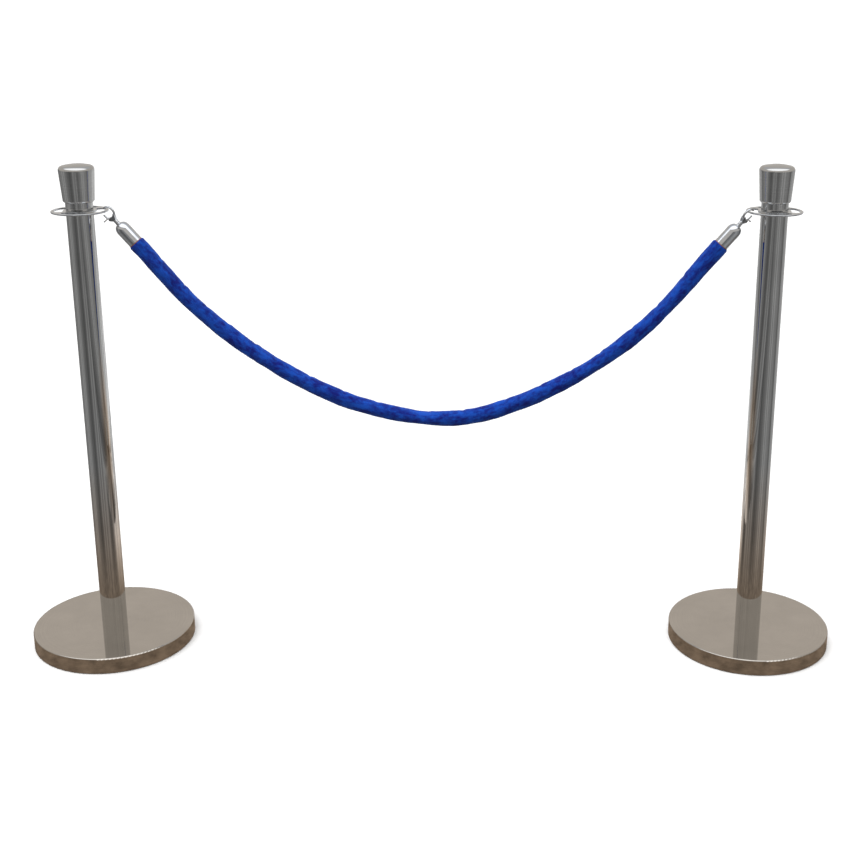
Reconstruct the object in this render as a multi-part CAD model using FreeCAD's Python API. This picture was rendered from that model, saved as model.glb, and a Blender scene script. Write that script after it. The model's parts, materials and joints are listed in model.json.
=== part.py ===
"""A pair of crown-top rope stanchions with one velvet rope hung between them.

Millimetres. The origin is on the floor, midway between the posts. +X runs from
the left post to the right post, +Z is up, and the front is towards -Y.
"""
import FreeCAD, Part

import math
import os

from FreeCAD import Placement, Rotation, Vector

os.makedirs("parts", exist_ok=True)

# ---------------------------------------------------------------- sizes: posts
post_spacing = 1308.0

base_diameter = 322.0
base_height = 33.0
cover_wall = 1.2
cover_edge_radius = 2.5
cover_floor_gap = 1.5

weight_side_gap = 1.0
weight_recess_radius = 136.0
weight_recess_roof = 14.0
foot_ring_height = 4.0
foot_ring_width = 19.0
foot_ring_inset = 3.0
ring_tongue_width = 4.0
ring_tongue_height = 3.0

thread_diameter = 12.0
thread_gap = 0.05
hole_clearance = 0.5
bolt_length = 45.0
bolt_head_flats = 19.0
bolt_head_height = 7.5
washer_diameter = 32.0
washer_thickness = 2.5

tube_diameter = 50.8
tube_wall = 1.2
plug_height = 25.0

plate_underside = 886.5
plate_thickness = 3.0
plate_diameter = 106.0
plate_rim_width = 5.5
plate_edge_radius = 0.9
slot_count = 4
slot_width = 16.5
slot_half_angle = 24.0

neck_height = 16.0
neck_edge = 0.8

crown_height = 71.0
crown_low_radius = 29.4
crown_top_radius = 33.8
crown_foot_radius = 26.0
crown_shoulder_height = 4.5
crown_dome_rise = 5.0
crown_edge_radius = 8.5
crown_wall = 1.5
insert_radius = 21.0
insert_flange = 3.0
insert_flange_height = 8.0
insert_height = 24.0
stud_engagement = 18.0

# ---------------------------------------------------------------- sizes: rope
rope_diameter = 30.0
cover_thickness = 1.5
cover_turn_in = 2.0

ferrule_diameter = 28.0
ferrule_length = 46.0
ferrule_wall = 1.5
ferrule_nose_radius = 9.5
ferrule_nose_length = 14.0
ferrule_nose_wall = 3.0
collar_radius = 4.6
collar_height = 3.0
rope_tail_length = 30.0
screw_depth_from_mouth = 16.0
screw_diameter = 3.0
screw_length = 13.0
screw_head_diameter = 5.6
screw_head_height = 1.6

swivel_diameter = 5.0
swivel_gap = 0.05
end_play = 0.15
swivel_washer_diameter = 8.8
swivel_washer_thickness = 1.0
rivet_diameter = 8.0
rivet_thickness = 2.0

# Every hook is drawn in its own frame. Its swivel axis is +Z, its claw bulges
# towards +X, and zero is where the axis leaves the nose of the ferrule.
knob_radius = 4.2
knob_top = 10.5
loop_near_centre = 26.5
loop_far_centre = 29.0
loop_mean_radius = 10.6
claw_depth = 4.2
claw_width = 4.8
claw_root_angle = -62.0
claw_tip_angle = 155.0
boss_width = 7.4
fork_gap = 4.8
pivot_across = -5.2
pivot_along = 16.0
pivot_eye_radius = 3.2
pin_diameter = 2.0
pin_gap = 0.04
pin_head_diameter = 3.2
pin_head_height = 0.5
gate_arm_radius = 1.7
gate_tip_gap = 0.35
gate_root_thickness = 2.4
gate_side_play = 0.15
lever_radius = 1.1
lever_ball_radius = 1.7
lever_ball_across = -18.5
lever_ball_along = 20.5
spring_wire = 0.5
spring_turns = 3
spring_side_gap = 0.6
spring_arm_length = 5.6
spring_arm_lean = 3.2
fork_depth = 4.2
hook_play = 1.4

left_slope = 49.5
right_slope = 50.0
left_hook_turn = -10.0
right_hook_turn = 40.0
right_hook_azimuth = 16.0

# The rope's route between the two ferrules, as a distance along the span from
# the middle of the posts and a height. The first and last points, on the
# ferrules' own axes, are added from the ferrules.
rope_run = 48.0
rope_points = [
    (-462.0, 718.0),
    (-388.0, 650.0),
    (-304.0, 589.0),
    (-220.0, 541.0),
    (-140.0, 507.0),
    (-62.0, 487.0),
    (8.0, 477.5),
    (84.0, 481.0),
    (160.0, 505.0),
    (240.0, 540.0),
    (318.0, 586.0),
    (396.0, 645.0),
    (464.0, 713.0),
]

# ---------------------------------------------------------------- worked out
tube_radius = tube_diameter / 2
tube_bore = tube_radius - tube_wall
base_radius = base_diameter / 2
cover_bore = base_radius - cover_wall
cover_ceiling = base_height - cover_wall
thread_radius = thread_diameter / 2
clear_radius = thread_radius + hole_clearance
tapped_radius = thread_radius + thread_gap

plate_radius = plate_diameter / 2
plate_top = plate_underside + plate_thickness
slot_outer = plate_radius - plate_rim_width
slot_middle = slot_outer - slot_width / 2
rim_middle = plate_radius - plate_rim_width / 2
rim_height = plate_underside + plate_thickness / 2

neck_top = plate_top + neck_height
crown_top = neck_top + crown_height

rope_radius = rope_diameter / 2
ferrule_radius = ferrule_diameter / 2
ferrule_bore = ferrule_radius - ferrule_wall
core_radius = rope_radius - cover_thickness
core_tail_radius = ferrule_bore - cover_thickness
swivel_radius = swivel_diameter / 2
rim_half_diagonal = math.hypot(plate_rim_width, plate_thickness) / 2
loop_inner_radius = loop_mean_radius - claw_depth / 2
hook_seat = loop_inner_radius - rim_half_diagonal - hook_play
hook_reach = loop_far_centre + hook_seat

left_bar = Vector(-post_spacing / 2 + rim_middle, 0, rim_height)
right_bar_angle = math.radians(right_hook_azimuth)
right_bar = Vector(
    post_spacing / 2 - rim_middle * math.cos(right_bar_angle),
    -rim_middle * math.sin(right_bar_angle),
    rim_height,
)
span = right_bar - left_bar
span_yaw = math.degrees(math.atan2(span.y, span.x))
span_turn = Rotation(Vector(0, 0, 1), span_yaw)

parts = {}


# ---------------------------------------------------------------- helpers
def line(start, end):
    return Part.LineSegment(start, end).toShape()


def arc(start, middle, end):
    return Part.Arc(start, middle, end).toShape()


def turned(edges):
    """A solid of revolution about Z from a closed outline in the XZ plane."""
    face = Part.Face(Part.Wire(Part.__sortEdges__(edges)))
    return face.revolve(Vector(0, 0, 0), Vector(0, 0, 1), 360)


def disc(radius, low, high):
    return Part.makeCylinder(radius, high - low, Vector(0, 0, low))


def ring(outer, inner, low, high):
    return disc(outer, low, high).cut(disc(inner, low, high))


def rod(start, end, radius):
    return Part.makeCylinder(radius, start.distanceToPoint(end), start, end - start)


def ball(centre, radius):
    return Part.makeSphere(radius, centre)


def capsule(start, end, radius):
    """A rod with round ends that reaches a radius past each point."""
    length = start.distanceToPoint(end)
    bend = radius * math.sqrt(0.5)
    outline = [
        arc(Vector(0, 0, -radius), Vector(bend, 0, -bend), Vector(radius, 0, 0)),
        line(Vector(radius, 0, 0), Vector(radius, 0, length)),
        arc(Vector(radius, 0, length), Vector(bend, 0, length + bend), Vector(0, 0, length + radius)),
        line(Vector(0, 0, length + radius), Vector(0, 0, -radius)),
    ]
    shape = turned(outline)
    shape.Placement = Placement(start, Rotation(Vector(0, 0, 1), end - start))
    return shape


def circles_at(shape, height, radius=None):
    """The full-circle edges that lie at one height, and have one radius if it's given."""
    found = []
    for edge in shape.Edges:
        if edge.Degenerated or not isinstance(edge.Curve, Part.Circle):
            continue
        at_height = abs(edge.Curve.Center.z - height) < 1e-6
        if at_height and (radius is None or abs(edge.Curve.Radius - radius) < 1e-6):
            found.append(edge)
    return found


def fused(shapes):
    whole = shapes[0]
    for shape in shapes[1:]:
        whole = whole.fuse(shape)
    return whole.removeSplitter()


# ---------------------------------------------------------------- post pieces
def foot_ring():
    outer = cover_bore - weight_side_gap - foot_ring_inset
    inner = outer - foot_ring_width
    middle = (outer + inner) / 2
    tongue_top = foot_ring_height + ring_tongue_height
    tongue = ring(middle + ring_tongue_width / 2, middle - ring_tongue_width / 2, foot_ring_height, tongue_top)
    return ring(outer, inner, 0, foot_ring_height).fuse(tongue).removeSplitter()


def base_weight():
    radius = cover_bore - weight_side_gap
    body = disc(radius, foot_ring_height, cover_ceiling)
    body = body.makeFillet(cover_edge_radius, circles_at(body, cover_ceiling))
    body = body.cut(disc(weight_recess_radius, foot_ring_height, weight_recess_roof))
    body = body.cut(disc(clear_radius, weight_recess_roof, cover_ceiling))
    return body.cut(foot_ring())


def base_cover():
    outer = disc(base_radius, cover_floor_gap, base_height)
    outer = outer.makeFillet(cover_edge_radius, circles_at(outer, base_height))
    inner = disc(cover_bore, cover_floor_gap, cover_ceiling)
    inner = inner.makeFillet(cover_edge_radius - cover_wall, circles_at(inner, cover_ceiling))
    return outer.cut(inner).cut(disc(clear_radius, cover_ceiling, base_height))


def base_washer():
    low = weight_recess_roof - washer_thickness
    return ring(washer_diameter / 2, clear_radius, low, weight_recess_roof)


def base_bolt():
    seat = weight_recess_roof - washer_thickness
    corner = bolt_head_flats / math.sqrt(3)
    turns = [math.radians(60 * step) for step in range(7)]
    corners = [Vector(corner * math.cos(t), corner * math.sin(t), seat - bolt_head_height) for t in turns]
    head = Part.Face(Part.makePolygon(corners)).extrude(Vector(0, 0, bolt_head_height))
    return head.fuse(disc(thread_radius, seat, seat + bolt_length)).removeSplitter()


def foot_plug():
    return ring(tube_bore, tapped_radius, base_height, base_height + plug_height)


def post_tube():
    return ring(tube_radius, tube_bore, base_height, plate_underside)


def head_plug():
    return ring(tube_bore, tapped_radius, plate_underside - plug_height, plate_underside)


def kidney_slot(azimuth):
    """One slot right through the ring plate, with round ends."""
    outer = slot_middle + slot_width / 2
    inner = slot_middle - slot_width / 2
    half = math.radians(slot_half_angle)

    def at(radius, angle):
        return Vector(radius * math.cos(angle), radius * math.sin(angle), plate_underside)

    def end_cap(angle, side):
        sideways = Vector(-math.sin(angle), math.cos(angle), 0)
        return at(slot_middle, angle) + sideways * (side * slot_width / 2)

    edges = [
        arc(at(outer, -half), at(outer, 0), at(outer, half)),
        arc(at(outer, half), end_cap(half, 1), at(inner, half)),
        arc(at(inner, half), at(inner, 0), at(inner, -half)),
        arc(at(inner, -half), end_cap(-half, -1), at(outer, -half)),
    ]
    slot = Part.Face(Part.Wire(edges)).extrude(Vector(0, 0, plate_thickness))
    return slot.rotate(Vector(0, 0, 0), Vector(0, 0, 1), azimuth)


def ring_plate():
    plate = disc(plate_radius, plate_underside, plate_top)
    rims = circles_at(plate, plate_underside) + circles_at(plate, plate_top)
    plate = plate.makeFillet(plate_edge_radius, rims)
    plate = plate.cut(disc(clear_radius, plate_underside, plate_top))
    for step in range(slot_count):
        plate = plate.cut(kidney_slot(360 / slot_count * step))
    return plate


def neck_collar():
    collar = disc(tube_radius, plate_top, neck_top)
    rims = circles_at(collar, plate_top) + circles_at(collar, neck_top)
    return collar.makeChamfer(neck_edge, rims).cut(disc(clear_radius, plate_top, neck_top))


def crown_outline(wall):
    """The cup's outline, moved inwards by a wall thickness."""
    low = neck_top + wall
    shoulder = neck_top + crown_shoulder_height
    rim = crown_top - crown_dome_rise
    foot = Vector(crown_foot_radius - wall, 0, low)
    hip = Vector(crown_low_radius - wall, 0, shoulder)
    belly = Vector((foot.x + hip.x) / 2 + (hip.x - foot.x) * 0.22, 0, (foot.z + hip.z) / 2 - (hip.z - foot.z) * 0.2)
    lip = Vector(crown_top_radius - wall, 0, rim - wall)
    peak = Vector(0, 0, crown_top - wall)
    flank = Vector(lip.x * 0.5, 0, lip.z + (peak.z - lip.z) * 0.75)
    return [
        line(Vector(0, 0, low), foot),
        arc(foot, belly, hip),
        line(hip, lip),
        arc(lip, flank, peak),
        line(peak, Vector(0, 0, low)),
    ]


def crown_shell():
    rim = crown_top - crown_dome_rise
    outer = turned(crown_outline(0))
    outer = outer.makeFillet(crown_edge_radius, circles_at(outer, rim))
    inner = turned(crown_outline(crown_wall))
    inner = inner.makeFillet(crown_edge_radius - crown_wall, circles_at(inner, rim - crown_wall))
    return outer.cut(inner).cut(disc(insert_radius, neck_top, neck_top + crown_wall))


def crown_insert():
    floor = neck_top + crown_wall
    body = disc(insert_radius, neck_top, neck_top + insert_height)
    flange = disc(insert_radius + insert_flange, floor, floor + insert_flange_height)
    return body.fuse(flange).removeSplitter().cut(disc(tapped_radius, neck_top, neck_top + insert_height))


def crown_stud():
    return disc(thread_radius, plate_underside - stud_engagement, neck_top + stud_engagement)


post_pieces = {
    "foot_ring": foot_ring,
    "base_weight": base_weight,
    "base_cover": base_cover,
    "base_washer": base_washer,
    "base_bolt": base_bolt,
    "foot_plug": foot_plug,
    "post_tube": post_tube,
    "head_plug": head_plug,
    "ring_plate": ring_plate,
    "neck_collar": neck_collar,
    "crown_insert": crown_insert,
    "crown_shell": crown_shell,
    "crown_stud": crown_stud,
}
for side, sign in (("left", -1), ("right", 1)):
    for name, make in post_pieces.items():
        piece = make()
        piece.translate(Vector(sign * post_spacing / 2, 0, 0))
        parts[side + "_" + name] = piece


# ---------------------------------------------------------------- hook pieces
def hook_point(across, along):
    return Vector(across, 0, along)


def loop_point(centre, radius, angle):
    """A point of the loop: 0 degrees is the claw's side and 90 is its far end."""
    turn = math.radians(angle)
    return hook_point(radius * math.cos(turn), centre + radius * math.sin(turn))


def claw_bend(centre, first, last):
    """A bent stretch of the claw's oval wire about one centre of the loop."""
    start = loop_point(centre, loop_mean_radius, first)
    outwards = start - hook_point(0, centre)
    wide = Part.Ellipse(start + Vector(0, claw_width / 2, 0), start + outwards.normalize() * (claw_depth / 2), start)
    face = Part.Face(Part.Wire(wide.toShape()))
    return face.revolve(hook_point(0, centre), Vector(0, -1, 0), last - first)


def claw():
    near_end = hook_point(loop_mean_radius, loop_near_centre)
    oval = Part.Ellipse(near_end + Vector(0, claw_width / 2, 0), near_end + Vector(claw_depth / 2, 0, 0), near_end)
    straight = Part.Face(Part.Wire(oval.toShape())).extrude(Vector(0, 0, loop_far_centre - loop_near_centre))
    near = claw_bend(loop_near_centre, claw_root_angle, 0)
    far = claw_bend(loop_far_centre, 0, claw_tip_angle)
    tip = ball(loop_point(loop_far_centre, loop_mean_radius, claw_tip_angle), claw_depth / 2)
    return fused([near, straight, far, tip])


def boss():
    """The fork at the foot of the claw that holds the gate's root and its pin."""
    outline = [
        (-2.4, knob_top - 1.5),
        (2.4, knob_top - 1.5),
        (5.4, knob_top + 3.0),
        (7.6, loop_near_centre - 8.6),
        (6.4, loop_near_centre - 5.4),
        (-5.0, loop_near_centre - 5.4),
        (pivot_across - pivot_eye_radius, pivot_along + 1.0),
        (pivot_across - pivot_eye_radius, pivot_along - 1.4),
        (pivot_across - 0.6, knob_top + 1.4),
    ]
    corners = [Vector(x, -boss_width / 2, z) for x, z in outline]
    block = Part.Face(Part.makePolygon(corners + corners[:1])).extrude(Vector(0, boss_width, 0))
    eye_start = Vector(pivot_across, -boss_width / 2, pivot_along)
    block = block.fuse(Part.makeCylinder(pivot_eye_radius, boss_width, eye_start, Vector(0, 1, 0)))
    hollow = Part.makeCylinder(
        loop_inner_radius, boss_width, Vector(0, -boss_width / 2, loop_near_centre), Vector(0, 1, 0)
    )
    return block.removeSplitter().cut(hollow)


def fork_slot():
    """The gap between the fork's cheeks, open towards the gate's side and its far end."""
    reach = loop_far_centre
    corner = Vector(pivot_across + fork_depth - reach, -fork_gap / 2, pivot_along - fork_depth)
    return Part.makeBox(reach, fork_gap, reach, corner)


def hook_body():
    shank_low = -ferrule_nose_wall - end_play - swivel_washer_thickness - end_play - rivet_thickness
    rivet = disc(rivet_diameter / 2, shank_low, shank_low + rivet_thickness)
    shank = disc(swivel_radius, shank_low, knob_top)
    knob = disc(knob_radius, collar_height + end_play, knob_top)
    knob = knob.makeFillet(1.2, circles_at(knob, knob_top) + circles_at(knob, collar_height + end_play))
    body = fused([rivet, shank, knob, boss(), claw()])
    body = body.cut(fork_slot())
    return body.cut(pin_body(pin_gap))


def pin_body(gap):
    reach = boss_width / 2
    radius = pin_diameter / 2 + gap
    return Part.makeCylinder(radius, 2 * reach, Vector(pivot_across, -reach, pivot_along), Vector(0, 1, 0))


def gate_pin():
    reach = boss_width / 2
    heads = []
    for side_y in (-reach - pin_head_height, reach):
        start = Vector(pivot_across, side_y, pivot_along)
        heads.append(Part.makeCylinder(pin_head_diameter / 2, pin_head_height, start, Vector(0, 1, 0)))
    return fused([pin_body(0)] + heads)


def gate_tip():
    """The gate's end, standing its gap short of the claw's round tip."""
    claw_end = loop_point(loop_far_centre, loop_mean_radius, claw_tip_angle)
    away = hook_point(-0.17, -1.0).normalize()
    return claw_end + away * (claw_depth / 2 + gate_arm_radius + gate_tip_gap)


def gate_low():
    return -fork_gap / 2 + gate_side_play


def gate():
    pivot = hook_point(pivot_across, pivot_along)
    low = gate_low()
    start = Vector(pivot_across, low, pivot_along)
    eye = Part.makeCylinder(pivot_eye_radius - 0.4, gate_root_thickness, start, Vector(0, 1, 0))
    knee = hook_point(-9.2, pivot_along + 4.4)
    tip = gate_tip()
    lever_end = hook_point(lever_ball_across, lever_ball_along)
    inner = Vector(0, low + gate_root_thickness / 2, 0)
    root = capsule(pivot + inner, knee, gate_root_thickness / 2)
    arm = capsule(knee, tip, gate_arm_radius)
    lever = rod(knee, lever_end, lever_radius)
    shape = eye
    for member in (root, arm, lever, ball(lever_end, lever_ball_radius)):
        shape = shape.fuse(member)
    return shape.cut(pin_body(pin_gap))


def gate_spring():
    """A close-wound torsion spring on the pin, with a leg on the fork and one on the gate."""
    bore = pin_diameter / 2 + 0.15
    low = gate_low() + gate_root_thickness + spring_side_gap
    outer = bore + spring_wire
    edges = [line(Vector(bore, 0, 0), Vector(bore, 0, spring_wire * spring_turns))]
    for turn in range(spring_turns):
        foot = Vector(outer - spring_wire / 3, 0, turn * spring_wire)
        crest = Vector(outer, 0, (turn + 0.5) * spring_wire)
        top = Vector(outer - spring_wire / 3, 0, (turn + 1) * spring_wire)
        edges.append(arc(foot, crest, top))
    edges.append(line(Vector(bore, 0, 0), Vector(outer - spring_wire / 3, 0, 0)))
    height = spring_wire * spring_turns
    edges.append(line(Vector(bore, 0, height), Vector(outer - spring_wire / 3, 0, height)))
    coil = turned(edges)
    radius = bore + spring_wire / 2
    # the arm leaves the coil square to its radius, leaning towards the gate
    arm_reach = Vector(-spring_arm_lean, -spring_arm_length, 0)
    arm = Vector(spring_arm_length, -spring_arm_lean, 0).normalize() * radius + Vector(0, 0, spring_wire / 2)
    foot = Vector(radius, 0, height - spring_wire / 2)
    leg_radius = spring_wire / 2 - 0.02
    legs = [
        rod(arm, arm + arm_reach, leg_radius),
        rod(foot, foot + Vector(0, fork_depth, 0), leg_radius),
    ]
    spring = fused([coil] + legs)
    spring.Placement = Placement(Vector(pivot_across, low, pivot_along), Rotation(Vector(1, 0, 0), -90))
    return spring


def swivel_washer():
    top = -ferrule_nose_wall - end_play
    outer = swivel_washer_diameter / 2
    return ring(outer, swivel_radius + swivel_gap, top - swivel_washer_thickness, top)


def quarter_oval(centre, across, along):
    """A quarter of an ellipse, from its side at +X to its top at +Z."""
    whole = Part.Ellipse(centre + Vector(0, 0, along), centre + Vector(across, 0, 0), centre)
    return Part.ArcOfEllipse(whole, 0, math.pi / 2).toShape()


def ferrule():
    """The bullet-nosed end cap, with its mouth towards the rope at -Z."""
    nose_flat = ferrule_radius - ferrule_nose_radius
    bore_nose = ferrule_nose_radius - ferrule_wall
    inner_flat = ferrule_bore - bore_nose
    low_bend = -ferrule_nose_wall - (ferrule_nose_length - ferrule_wall)
    outer_shell = [
        line(Vector(0, 0, -ferrule_length), Vector(ferrule_radius, 0, -ferrule_length)),
        line(Vector(ferrule_radius, 0, -ferrule_length), Vector(ferrule_radius, 0, -ferrule_nose_length)),
        quarter_oval(Vector(nose_flat, 0, -ferrule_nose_length), ferrule_nose_radius, ferrule_nose_length),
        line(Vector(nose_flat, 0, 0), Vector(0, 0, 0)),
        line(Vector(0, 0, 0), Vector(0, 0, -ferrule_length)),
    ]
    inner_shell = [
        line(Vector(0, 0, -ferrule_length), Vector(ferrule_bore, 0, -ferrule_length)),
        line(Vector(ferrule_bore, 0, -ferrule_length), Vector(ferrule_bore, 0, low_bend)),
        quarter_oval(Vector(inner_flat, 0, low_bend), bore_nose, ferrule_nose_length - ferrule_wall),
        line(Vector(inner_flat, 0, -ferrule_nose_wall), Vector(0, 0, -ferrule_nose_wall)),
        line(Vector(0, 0, -ferrule_nose_wall), Vector(0, 0, -ferrule_length)),
    ]
    collar = disc(collar_radius, 0, collar_height)
    cap = turned(outer_shell).cut(turned(inner_shell)).fuse(collar).removeSplitter()
    cap = cap.makeFillet(0.6, circles_at(cap, collar_height))
    bore = disc(swivel_radius + swivel_gap, -ferrule_nose_wall, collar_height)
    return cap.cut(bore).cut(screw_shank())


def screw_shank():
    """The rope screw's shank, square to the ferrule's axis, entering from +Y."""
    start = Vector(0, ferrule_radius, screw_depth_from_mouth - ferrule_length)
    return Part.makeCylinder(screw_diameter / 2, screw_length, start, Vector(0, -1, 0))


def rope_screw():
    along = screw_depth_from_mouth - ferrule_length
    head_radius = screw_head_diameter / 2
    # the head bears on the round ferrule, so it starts where its rim meets the side
    seat = math.sqrt(ferrule_radius**2 - head_radius**2)
    head = Part.makeCylinder(
        head_radius,
        ferrule_radius + screw_head_height - seat,
        Vector(0, seat, along),
        Vector(0, 1, 0),
    )
    head = head.cut(disc(ferrule_radius, -ferrule_length, 0))
    cross = []
    for angle in (0, 90):
        bar = Part.makeBox(3.4, 1.0, 0.7, Vector(-1.7, ferrule_radius + screw_head_height - 0.8, -0.35))
        bar.rotate(Vector(0, 0, 0), Vector(0, 1, 0), angle)
        bar.translate(Vector(0, 0, along))
        cross.append(bar)
    return head.cut(cross[0]).cut(cross[1]).fuse(screw_shank()).removeSplitter()


# ---------------------------------------------------------------- placing the rope
def hook_frame(slope, side):
    """Where a hook's frame lies: its axis climbs at the slope towards its own post."""
    bar = left_bar if side == "left" else right_bar
    lean = Rotation(Vector(0, 1, 0), slope - 90)
    facing = span_turn
    if side == "right":
        facing = span_turn.multiply(Rotation(Vector(0, 0, 1), 180))
    turn = facing.multiply(lean)
    axis = turn.multVec(Vector(0, 0, 1))
    return Placement(bar - axis * hook_reach, turn)


def placed(shape, frame):
    copy = shape.copy()
    copy.Placement = frame.multiply(copy.Placement)
    return copy


hook_sides = {
    "left": (hook_frame(left_slope, "left"), left_hook_turn),
    "right": (hook_frame(right_slope, "right"), right_hook_turn),
}
screws = []
for side, (frame, swivel) in hook_sides.items():
    swivelled = frame.multiply(Placement(Vector(0, 0, 0), Rotation(Vector(0, 0, 1), swivel)))
    parts[side + "_swivel_washer"] = placed(swivel_washer(), frame)
    parts[side + "_hook"] = placed(hook_body(), swivelled)
    parts[side + "_gate"] = placed(gate(), swivelled)
    parts[side + "_gate_pin"] = placed(gate_pin(), swivelled)
    parts[side + "_gate_spring"] = placed(gate_spring(), swivelled)
    # both screws go in from the back of the rope, and the right hook's frame faces the other way
    behind = frame
    if side == "right":
        behind = frame.multiply(Placement(Vector(0, 0, 0), Rotation(Vector(0, 0, 1), 180)))
    parts[side + "_ferrule"] = placed(ferrule(), behind)
    screws.append(placed(rope_screw(), behind))
parts["rope_screws"] = Part.makeCompound(screws)


# ---------------------------------------------------------------- the rope
def rope_route():
    """The whole route: both mouths, a point on each ferrule's axis, and the free points."""
    ends = {}
    for side, (frame, _) in hook_sides.items():
        mouth = frame.multVec(Vector(0, 0, -ferrule_length))
        ends[side] = (mouth, frame.multVec(Vector(0, 0, -ferrule_length - rope_run)))
    free = []
    for along, height in rope_points:
        flat = span_turn.multVec(Vector(along - left_bar.x, 0, 0))
        free.append(Vector(left_bar.x + flat.x, left_bar.y + flat.y, height))
    return [*ends["left"], *free, ends["right"][1], ends["right"][0]]


def bent_wire(points):
    """Straight runs joined by tangent arcs, each as large as its two runs allow."""
    edges = []
    radii = []
    start = points[0]
    for before, corner, after in zip(points, points[1:], points[2:]):
        into = corner - before
        out = after - corner
        half_turn = into.getAngle(out) / 2
        reach = 0.45 * min(into.Length, out.Length)
        radii.append(reach / math.tan(half_turn))
        into.normalize()
        out.normalize()
        first = corner - into * reach
        last = corner + out * reach
        inwards = (out - into).normalize()
        middle = corner + inwards * (radii[-1] / math.cos(half_turn) - radii[-1])
        edges.append(line(start, first))
        edges.append(arc(first, middle, last))
        start = last
    edges.append(line(start, points[-1]))
    return Part.Wire(edges), radii


def rope_tube(wire, radius):
    start = wire.Edges[0].Curve
    profile = Part.Wire(Part.makeCircle(radius, wire.Edges[0].Vertexes[0].Point, start.Direction))
    return wire.makePipeShell([profile], True, False)


def at_both_ends(shape):
    return [placed(shape, frame) for frame, _ in hook_sides.values()]


def rope_pieces(wire):
    """The core and its velvet, which turns in at each mouth and lines the ferrule."""
    mouth = -ferrule_length
    tail_end = mouth + rope_tail_length
    turn_in = ring(rope_radius, core_tail_radius, mouth - cover_turn_in, mouth)
    core = rope_tube(wire, core_radius)
    velvet = rope_tube(wire, rope_radius).cut(core)
    for end in at_both_ends(turn_in):
        core = core.cut(end)
    for end in at_both_ends(disc(core_tail_radius, mouth, tail_end)):
        core = core.fuse(end)
    lining = ring(ferrule_bore, core_tail_radius, mouth, tail_end)
    for end in at_both_ends(turn_in) + at_both_ends(lining):
        velvet = velvet.fuse(end)
    return core.removeSplitter(), velvet.removeSplitter()


route_wire, bend_radii = bent_wire(rope_route())
rope_core, rope_cover = rope_pieces(route_wire)
parts["rope_core"] = rope_core.cut(parts["rope_screws"])
parts["rope_cover"] = rope_cover.cut(parts["rope_screws"])

print("rope length", round(route_wire.Length, 1))
print("bend radii", [round(radius) for radius in bend_radii])
swept = rope_tube(route_wire, rope_radius).Volume
print("rope volume over section times length", round(swept / (math.pi * rope_radius**2 * route_wire.Length), 4))

for name, shape in parts.items():
    if not shape.isValid() or not shape.Solids:
        raise ValueError("bad shape in " + name)
    shape.exportStep("parts/" + name + ".step")
    print(name, len(shape.Solids), round(shape.Volume / 1000, 2))
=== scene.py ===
import json
import math

import bmesh
import bpy
from mathutils import Matrix, Vector, noise


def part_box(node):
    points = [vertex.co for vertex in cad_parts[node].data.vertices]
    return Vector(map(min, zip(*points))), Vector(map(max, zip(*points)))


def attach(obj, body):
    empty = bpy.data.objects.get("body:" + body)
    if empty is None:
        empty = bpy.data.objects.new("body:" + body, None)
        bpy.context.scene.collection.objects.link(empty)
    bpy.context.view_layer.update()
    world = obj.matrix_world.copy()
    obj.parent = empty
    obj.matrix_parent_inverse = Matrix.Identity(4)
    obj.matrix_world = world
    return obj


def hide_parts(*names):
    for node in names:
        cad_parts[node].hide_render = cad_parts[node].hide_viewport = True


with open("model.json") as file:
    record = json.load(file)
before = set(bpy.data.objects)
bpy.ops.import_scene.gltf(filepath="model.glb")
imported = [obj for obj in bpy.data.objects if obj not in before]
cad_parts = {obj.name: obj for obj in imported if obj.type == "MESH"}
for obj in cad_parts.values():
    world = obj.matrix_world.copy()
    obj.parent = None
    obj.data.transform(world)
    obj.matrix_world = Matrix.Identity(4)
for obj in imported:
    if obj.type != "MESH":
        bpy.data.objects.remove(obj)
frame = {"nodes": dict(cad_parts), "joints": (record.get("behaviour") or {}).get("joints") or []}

bl_info = {
    "name": "Velvet rope stanchions",
    "version": (1, 0, 0),
    "blender": (4, 5, 0),
    "location": "View3D > Sidebar > Stanchions",
    "description": "Finishes a pair of polished rope posts and hangs a crushed-velvet rope between them",
    "category": "Object",
}

SIDES = ("left", "right")
MM = 0.001
JOINTS = {joint["name"]: joint for joint in frame["joints"]}
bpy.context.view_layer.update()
POST_X = sum(corner.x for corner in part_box("right_post_tube")) / 2


def linear(code):
    """An sRGB hex colour as the linear red, green and blue that shaders and lights take."""
    parts = [int(code[i : i + 2], 16) / 255 for i in (0, 2, 4)]
    return tuple(c / 12.92 if c <= 0.04045 else ((c + 0.055) / 1.055) ** 2.4 for c in parts)


# ---------------------------------------------------------------- settings
class VelvetRopeSettings(bpy.types.PropertyGroup):
    diameter: bpy.props.FloatProperty(
        name="Diameter", description="Thickness of the rope with its velvet", default=0.030, min=0.02, max=0.05,
        unit="LENGTH",
    )
    length: bpy.props.FloatProperty(
        name="Length", description="Velvet from one ferrule's mouth to the other", default=1.353, unit="LENGTH"
    )
    slackness: bpy.props.FloatProperty(
        name="Slackness", description="How far the velvet bags and flattens over its filling", default=0.0011,
        unit="LENGTH",
    )
    pile: bpy.props.FloatVectorProperty(
        name="Pile", description="Velvet where the pile stands up", subtype="COLOR", default=linear("1254C8"),
        min=0, max=1,
    )
    crushed_pile: bpy.props.FloatVectorProperty(
        name="Crushed pile", description="Velvet where the pile lies flat", subtype="COLOR", default=linear("0C1B80"),
        min=0, max=1,
    )
    binding: bpy.props.FloatVectorProperty(
        name="Binding", description="Cord sewn round the velvet at each ferrule", subtype="COLOR",
        default=linear("A5644A"), min=0, max=1,
    )


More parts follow.
